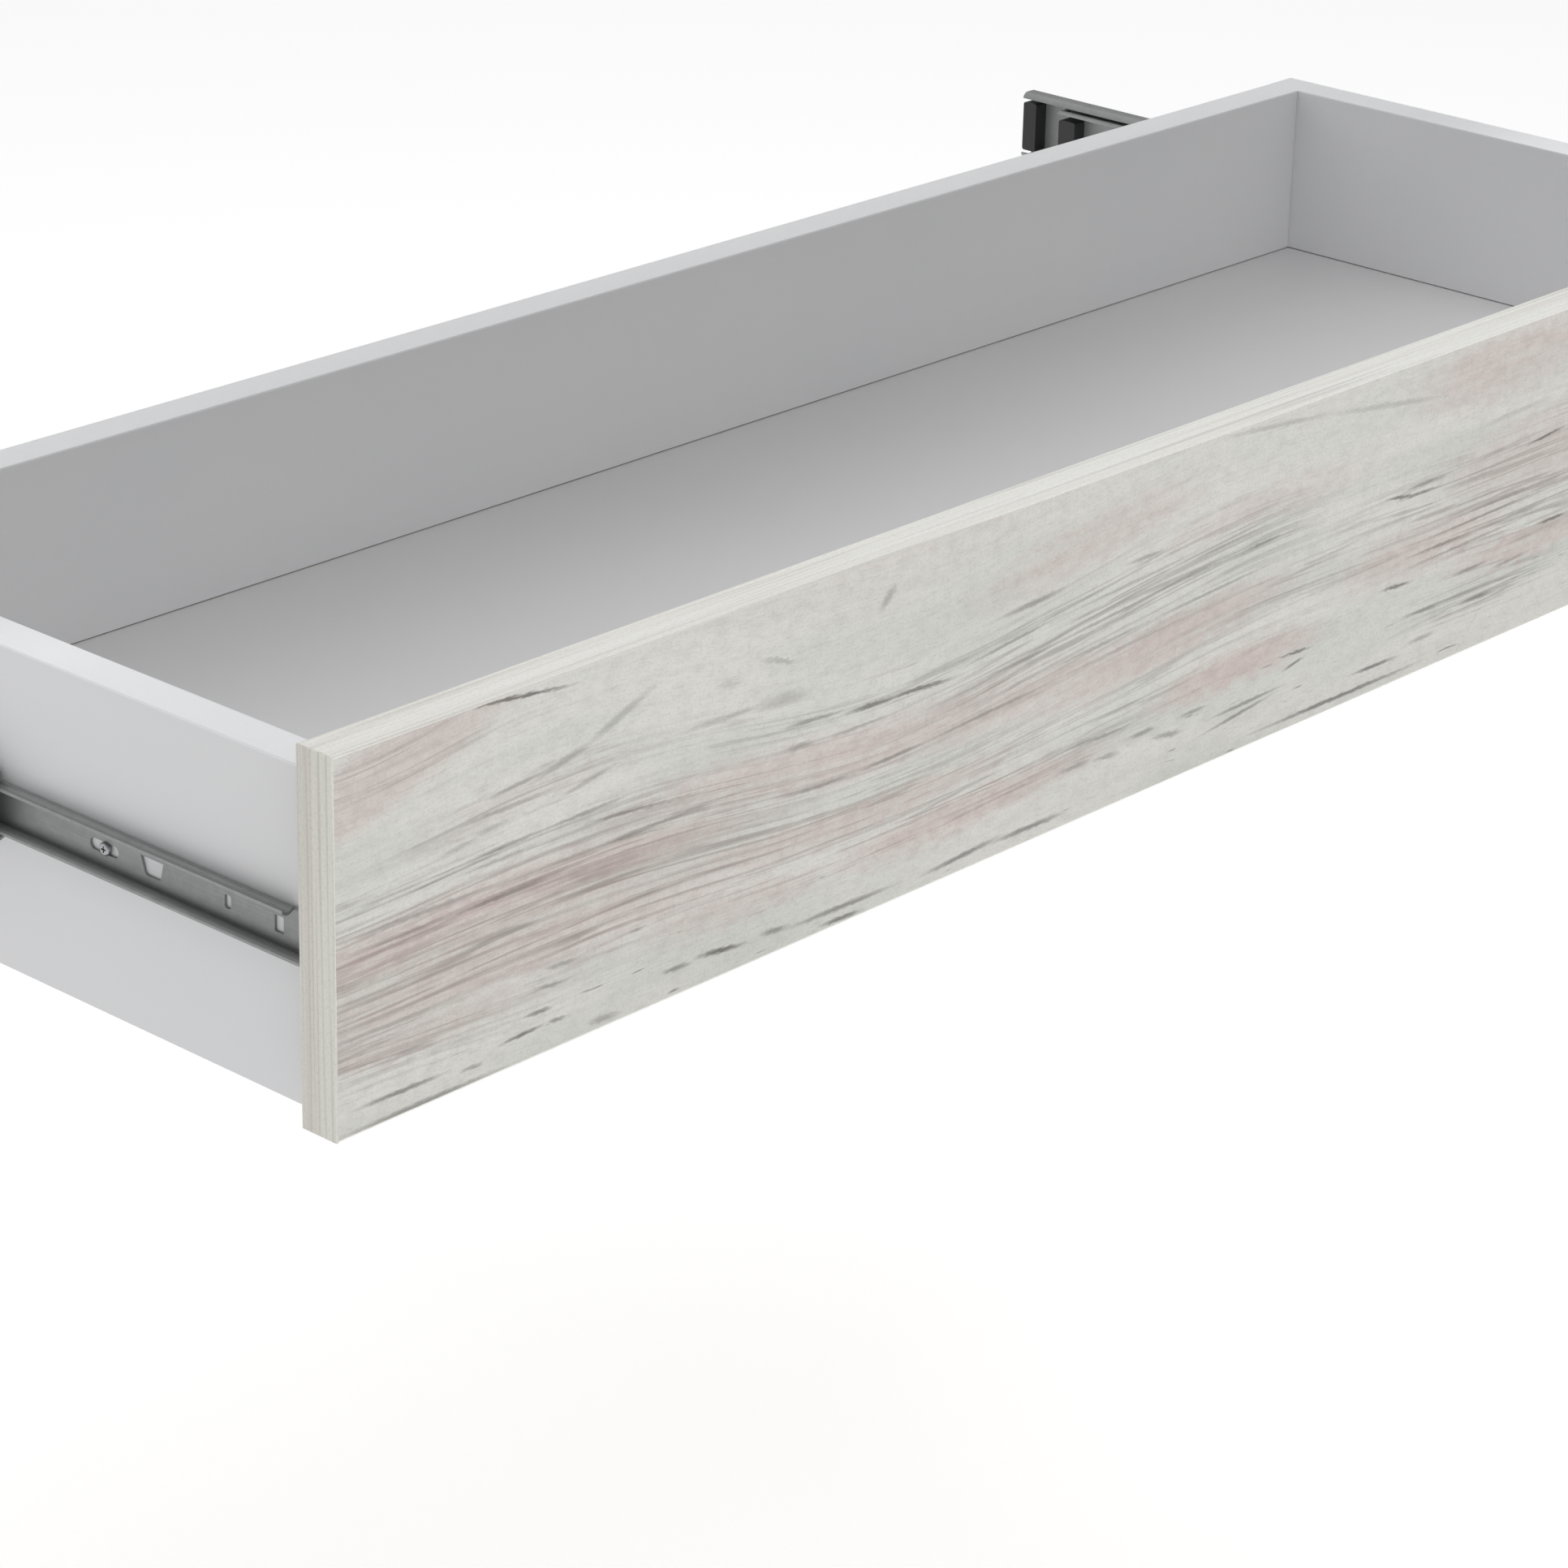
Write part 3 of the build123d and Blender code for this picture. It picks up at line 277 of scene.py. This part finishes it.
def rib_lines(t):
    """Evenly spaced soft lines at the left end, fading in and out."""
    wave = t.math("SINE", t.math("MULTIPLY_ADD", t.flow, RIB_RATE, t.math("MULTIPLY", t.sway, 6.0)))
    faded = t.step(t.streaks(t.flow, along=0.02, across=0.15, seed=23.0), 0.36, 0.60, 0.2)
    ribs = t.math("MULTIPLY", t.step(wave, 0.0, 0.95), faded)
    area = t.add_spot(0.0, t.x, t.flow, RIB_CENTRE, RIB_HALF, 0.0, (1.1, 0.5), 1.0)
    return t.math("MULTIPLY", ribs, area)


def fine_lines(t, bundle):
    """Hair lines, many in the bundles and a few elsewhere."""
    hair = t.streaks(t.flow, along=0.010, across=0.60, seed=7.3, roughness=0.6)
    return t.math("MULTIPLY", t.step(hair, 0.50, 0.66), t.math("MULTIPLY_ADD", bundle, 0.75, 0.12))


def bold_lines(t, bundle):
    """Broken lines in the bundles, each where a slow noise passes its middle value."""
    slow = t.streaks(t.flow, along=0.005, across=0.24, seed=12.5, detail=1.0)
    off_middle = t.math("ABSOLUTE", t.math("SUBTRACT", slow, 0.5))
    bold = t.math("MULTIPLY", t.step(off_middle, 0.050, 0.014), bundle)
    breaks = t.step(t.streaks(t.flow, along=0.03, across=0.5, seed=31.0), 0.34, 0.56)
    return t.math("MULTIPLY", bold, breaks)


def cracks(t):
    """The listed cracks with torn edges, and small dashes that crowd near the lower edge."""
    ragged = t.streaks(t.z, along=0.30, across=1.1, seed=5.0, detail=3.0)
    torn = t.swing(ragged, 1.6)
    torn_x = t.math("MULTIPLY_ADD", torn, 4.0, t.x)
    torn_z = t.math("ADD", t.z, torn)
    total = 0.0
    for x0, z0, x1, z1, width, darkness in CRACKS:
        centre = ((x0 + x1) / 2, (z0 + z1) / 2)
        half = (math.hypot(x1 - x0, z1 - z0) / 2 + CRACK_TAPER, width * CRACK_BLUR)
        angle = -math.atan2(z1 - z0, x1 - x0)
        total = t.add_spot(total, torn_x, torn_z, centre, half, angle, (1.25, 0.25), darkness)
    dashes = t.step(t.streaks(t.z, along=0.05, across=0.55, seed=40.0), 0.66, 0.75)
    crowding = t.step(t.z, low=40, high=22, out_low=0.12, out_high=0.75)
    return t.math("MAXIMUM", total, t.math("MULTIPLY", dashes, crowding))


def oak_front():
    """The printed front: a pale wash, pink clouds, flowing grain lines and open cracks."""
    t = OakPrint("oak_front")
    mottle = t.streaks(t.z, along=0.12, across=0.2, seed=6.0, detail=4.0, roughness=0.65)
    tint = pink_tint(t, mottle)
    colour = t.mix(tint, wash(t), WASH_PINK)

    bundle = t.clouds(LINE_BUNDLES)
    bold = bold_lines(t, bundle)
    grain = t.mix(tint, GRAIN_GREY, GRAIN_ROSE)
    for lines, strength in ((rib_lines(t), 0.32), (fine_lines(t, bundle), 0.45), (bold, 0.50)):
        colour = t.ink(colour, lines, strength, grain)

    dust = t.streaks(t.flow, along=0.16, across=1.5, seed=17.0, detail=3.0, roughness=0.7)
    speckle = t.streaks(t.z, along=0.7, across=1.0, seed=8.0, detail=4.0, roughness=0.75)
    colour = t.mix(t.step(mottle, 0.40, 0.70, out_high=0.12), colour, GRAIN_GREY)
    colour = t.mix(t.step(dust, 0.50, 0.68, out_high=0.14), colour, GRAIN_GREY)
    colour = t.mix(t.step(speckle, 0.46, 0.66, out_high=0.16), colour, GRAIN_GREY)
    crack = cracks(t)
    colour = t.ink(colour, crack, 0.80, CRACK_GREY)

    # Cracks are cut deepest, bold lines less, and the pores stand out a little.
    pore = t.streaks(t.z, along=0.5, across=3.0, seed=2.0)
    depth = t.math("MULTIPLY_ADD", crack, -1.0, t.math("MULTIPLY", pore, 0.35))
    depth = t.math("MULTIPLY_ADD", bold, -0.35, depth)
    rough = t.math("MULTIPLY_ADD", crack, 0.15, t.step(pore, 0.35, 0.7, out_low=0.50, out_high=0.60))
    return t.surface(colour, rough, t.bump(depth, 0.0002), Specular_IOR_Level=0.3)


BAND_LINE = srgb(176, 171, 162)


def oak_band(name, along, light, shade):
    """An edge band with fine lines along axis number `along`."""
    t = Tree(name)

    def lines(across, length, seed):
        scale = [across, across, across]
        scale[along] = length
        return t.noise(t.stretch(t.place, tuple(scale), (seed, seed, seed)))

    colour = t.mix(t.step(lines(across=170.0, length=2.0, seed=5.3), 0.36, 0.64), light, shade)
    fine = lines(across=900.0, length=7.0, seed=1.1)
    bold = lines(across=420.0, length=3.0, seed=8.7)
    colour = t.ink(colour, t.step(fine, 0.50, 0.70), 0.35, BAND_LINE)
    colour = t.ink(colour, t.step(bold, 0.60, 0.68), 0.35, BAND_LINE)
    speckle = t.noise(t.place, scale=900.0, detail=3.0, roughness=0.7)
    colour = t.mix(t.step(speckle, 0.45, 0.70, out_high=0.15), colour, GRAIN_GREY)
    return t.surface(colour, 0.5, t.bump(fine, 0.00005), Specular_IOR_Level=0.35)


# ---- white board ------------------------------------------------------------------------
def chip_colour(t):
    """Pressed wood chips, for cut edges that carry no band."""
    cells = t.add("ShaderNodeTexVoronoi", {"Vector": t.stretch(t.place, (1, 1, 2.2)), "Scale": 420.0})
    shade = t.split(cells.outputs["Color"])[0]
    chips = t.mix(shade, srgb(196, 164, 122), srgb(146, 112, 76))
    glue = t.step(t.noise(t.place, scale=900.0), 0.45, 0.7)
    return t.mix(glue, chips, srgb(216, 192, 156))


def white_board():
    """Melamine on chipboard, with raw chips on the lower edge."""
    t = Tree("white_board")
    skin = t.noise(t.place, scale=1400.0, roughness=0.6)
    cloud = t.noise(t.place, scale=9.0)
    white = t.mix(cloud, srgb(228, 229, 231), srgb(233, 233, 234))
    facing_down = t.math("LESS_THAN", t.split(t.facing)[2], -0.5)
    colour = t.mix(facing_down, white, chip_colour(t))
    rough = t.step(cloud, 0.3, 0.7, out_low=0.40, out_high=0.47)
    return t.surface(colour, rough, t.bump(skin, 0.00004), Specular_IOR_Level=0.4)


def white_edge():
    """The white band glued to the boards' upper and rear edges."""
    t = Tree("white_edge")
    skin = t.noise(t.place, scale=900.0)
    colour = t.mix(skin, srgb(240, 241, 243), srgb(245, 246, 247))
    return t.surface(colour, 0.38, t.bump(skin, 0.00004, strength=0.4), Specular_IOR_Level=0.45)


def hardboard():
    """White film on top; brown pressed fibre below and in the grooves."""
    t = Tree("hardboard")
    skin = t.noise(t.place, scale=1100.0)
    fibre = t.noise(t.place, scale=700.0, detail=5.0, roughness=0.7, distortion=1.2)
    brown = t.mix(fibre, srgb(112, 78, 50), srgb(160, 122, 84))
    white = t.mix(t.noise(t.place, scale=6.0), srgb(208, 208, 209), srgb(214, 214, 215))
    facing_up = t.math("GREATER_THAN", t.split(t.facing)[2], 0.5)
    colour = t.mix(facing_up, brown, white)
    rough = t.step(facing_up, 0.0, 1.0, out_low=0.8, out_high=0.42)
    return t.surface(colour, rough, t.bump(skin, 0.00005), Specular_IOR_Level=0.4)


# ---- metal and plastic ------------------------------------------------------------------
def rolled_steel(name, dark, light, roughness):
    """Zinc-plated sheet, rolled along Y: long fine streaks, faint spangle and rub marks."""
    t = Tree(name)
    rolled = t.noise(t.stretch(t.place, (2600, 14, 2600)), detail=3.0, roughness=0.6)
    spangle = t.noise(t.place, scale=260.0, distortion=0.6)
    rub = t.step(t.noise(t.stretch(t.place, (300, 30, 300), (9, 2, 4)), detail=3.0), 0.55, 0.75)
    shade = t.math("MULTIPLY_ADD", rolled, 0.6, t.math("MULTIPLY", spangle, 0.4))
    colour = t.mix(t.step(shade, 0.3, 0.7), dark, light)
    colour = t.ink(colour, rub, 0.25, light)
    rough = t.step(shade, 0.25, 0.75, out_low=roughness + 0.08, out_high=roughness - 0.06)
    return t.surface(colour, rough, t.bump(rolled, 0.00002, strength=0.3), Metallic=0.65)


def cast_zinc():
    """The grainy grey of die-cast cam locks."""
    t = Tree("cast_zinc")
    grain = t.noise(t.place, scale=1500.0, detail=3.0, roughness=0.6)
    colour = t.mix(t.step(grain, 0.3, 0.7), srgb(150, 151, 153), srgb(188, 189, 191))
    return t.surface(colour, 0.48, t.bump(grain, 0.00012, strength=0.6), Metallic=1.0)


def bright_zinc():
    """Screws, bolts and rivets, with a faint blush in the plating."""
    t = Tree("bright_zinc")
    grain = t.noise(t.place, scale=2200.0)
    blush = t.noise(t.place, scale=160.0)
    colour = t.mix(t.step(blush, 0.35, 0.65), srgb(172, 175, 178), srgb(190, 191, 190))
    rough = t.step(grain, 0.3, 0.7, out_low=0.34, out_high=0.46)
    return t.surface(colour, rough, t.bump(grain, 0.00002, strength=0.4), Metallic=1.0)


def bearing_steel():
    """Polished balls with a smear of grease."""
    t = Tree("bearing_steel")
    smear = t.noise(t.place, scale=700.0)
    colour = t.mix(smear, srgb(200, 201, 203), srgb(222, 222, 222))
    return t.surface(colour, t.step(smear, 0.4, 0.7, out_low=0.06, out_high=0.2), Metallic=1.0)


def beech():
    """Dowels, with the fibre and the darker flecks of beech."""
    t = Tree("beech")
    fibre = t.noise(t.stretch(t.place, (60, 60, 1400)), detail=3.0)
    fleck = t.step(t.noise(t.stretch(t.place, (900, 300, 900)), detail=1.0), 0.62, 0.7)
    colour = t.mix(fibre, srgb(206, 168, 122), srgb(224, 192, 150))
    colour = t.ink(colour, fleck, 0.6, srgb(150, 104, 66))
    return t.surface(colour, 0.62, t.bump(fibre, 0.0001))


def plastic(name, first, second, roughness):
    """Moulded plastic with a fine grain."""
    t = Tree(name)
    grain = t.noise(t.place, scale=1800.0, detail=3.0, roughness=0.6)
    colour = t.mix(t.noise(t.place, scale=120.0), first, second)
    rough = t.step(grain, 0.3, 0.7, out_low=roughness - 0.06, out_high=roughness + 0.08)
    return t.surface(colour, rough, t.bump(grain, 0.00006))


LENGTHWISE, UPRIGHT = 0, 2   # axis numbers
finishes = {
    "front_decor": oak_front(),
    # The lengthwise bands carry a painted highlight: their colours are painted much brighter than the
    # upright bands' to stand for the light from above on the top edge.
    "front_edge": oak_band("oak_band_lengthwise_painted_highlight", LENGTHWISE, srgb(252, 252, 247), srgb(246, 245, 239)),
    "white_board": white_board(),
    "white_edge": white_edge(),
    "white_hardboard": hardboard(),
    "runner_steel": rolled_steel("runner_steel", srgb(149, 151, 150), srgb(157, 159, 158), 0.50),
    "cage_steel": rolled_steel("cage_steel", srgb(150, 150, 148), srgb(186, 186, 184), 0.34),
    "ball_steel": bearing_steel(),
    "zinc_plate": bright_zinc(),
    "zinc_casting": cast_zinc(),
    "beech": beech(),
    "white_plastic": plastic("white_plastic", srgb(226, 227, 228), srgb(233, 234, 235), 0.42),
    "black_plastic": plastic("black_plastic", srgb(30, 30, 32), srgb(38, 38, 40), 0.5),
}
upright_band = oak_band("oak_band_upright", UPRIGHT, srgb(233, 232, 223), srgb(219, 216, 207))
for part in frame["record"]["subparts"]:
    node = frame["nodes"][part["node"]]
    material = finishes[part["material_slot"]]
    if part["node"] in ("front_edge_band_left", "front_edge_band_right"):
        material = upright_band
    node.data.materials.clear()
    node.data.materials.append(material)


# ---- stage, light and camera, in metres -------------------------------------------------
FLOOR_SIZE, FLOOR_DROP, FLOOR_GLOW = (60, 60), 0.60, 0.51
# The flag's width is a multiple of the drawer's; the gap is its height above the drawer.
FLAG_WIDTHS, FLAG_DEPTH, FLAG_Y, FLAG_GAP = 1.3, 0.50, 0.28, 0.09
WORLD_STRENGTH = 0.37
# Name, place, diameter and watts of each lamp; they all face the origin.
LAMPS = [("key", (-1.0, -2.5, 2.6), 2.4, 25), ("top", (0.4, 0.0, 3.0), 2.6, 34)]


def stage_plane(name, size, location, glow):
    """A sheet of pale paper that is no part of the object."""
    bpy.ops.mesh.primitive_plane_add(size=1, location=location)
    plane = bpy.context.object
    plane.name = name
    plane.scale = (*size, 1)
    plane.data.materials.append(stage_paper(glow))
    return plane


def stage_paper(glow):
    t = Tree("stage_paper")
    paper = t.mix(t.noise(t.place, scale=0.8), (0.93, 0.93, 0.93), (0.95, 0.95, 0.95))
    return t.surface(paper, 0.9, Emission_Color=(1.0, 1.0, 1.0, 1.0), Emission_Strength=glow)


def build_stage():
    """A pale floor well below the drawer, and a flag that shades it as a desk top does."""
    (x0, _, z0), (x1, _, z1) = CAD_BOX
    stage_plane("stage_floor", FLOOR_SIZE, (0, 0, z0 - FLOOR_DROP), FLOOR_GLOW)
    flag_size = (FLAG_WIDTHS * (x1 - x0), FLAG_DEPTH)
    flag = stage_plane("stage_flag", flag_size, (0, FLAG_Y, z1 + FLAG_GAP), 0.0)
    flag.visible_camera = False


def soft_light(name, location, diameter, watts):
    data = bpy.data.lights.new(name, "AREA")
    data.shape, data.size, data.energy = "DISK", diameter, watts
    lamp = bpy.data.objects.new(name, data)
    bpy.context.scene.collection.objects.link(lamp)
    lamp.location = location
    lamp.rotation_mode = "QUATERNION"
    toward_origin = Vector((0, 0, 0)) - Vector(location)
    lamp.rotation_quaternion = toward_origin.to_track_quat("-Z", "Y")


def light_room():
    """An even white world and two large soft lamps."""
    world = bpy.data.worlds.new("studio")
    bpy.context.scene.world = world
    world.use_nodes = True
    background = world.node_tree.nodes["Background"]
    background.inputs["Color"].default_value = (1.0, 1.0, 1.0, 1.0)
    background.inputs["Strength"].default_value = WORLD_STRENGTH
    for lamp in LAMPS:
        soft_light(*lamp)


CAMERA_FROM_CORNER = Vector((-0.924, -1.014, 0.700))   # from FRONT_LOW
AZIMUTH, ELEVATION, ROLL = (math.radians(angle) for angle in (48.04, 22.84, 1.38))
SENSOR, LENS = 36.0, 113.05   # millimetres


def add_camera():
    """The photographed viewpoint: front left, from above, with a long lens."""
    forward = Vector((math.sin(AZIMUTH) * math.cos(ELEVATION), math.cos(AZIMUTH) * math.cos(ELEVATION),
                      -math.sin(ELEVATION)))
    level = Vector((math.cos(AZIMUTH), -math.sin(AZIMUTH), 0))
    upright = level.cross(forward)
    right = level * math.cos(ROLL) + upright * math.sin(ROLL)
    up = upright * math.cos(ROLL) - level * math.sin(ROLL)
    data = bpy.data.cameras.new("camera")
    data.sensor_width, data.lens = SENSOR, LENS
    camera = bpy.data.objects.new("camera", data)
    bpy.context.scene.collection.objects.link(camera)
    axes = Matrix((right, up, -forward)).transposed().to_4x4()
    camera.matrix_world = Matrix.Translation(FRONT_LOW + CAMERA_FROM_CORNER) @ axes
    bpy.context.scene.camera = camera


build_stage()
light_room()
add_camera()
bpy.context.scene.view_settings.view_transform = "Standard"
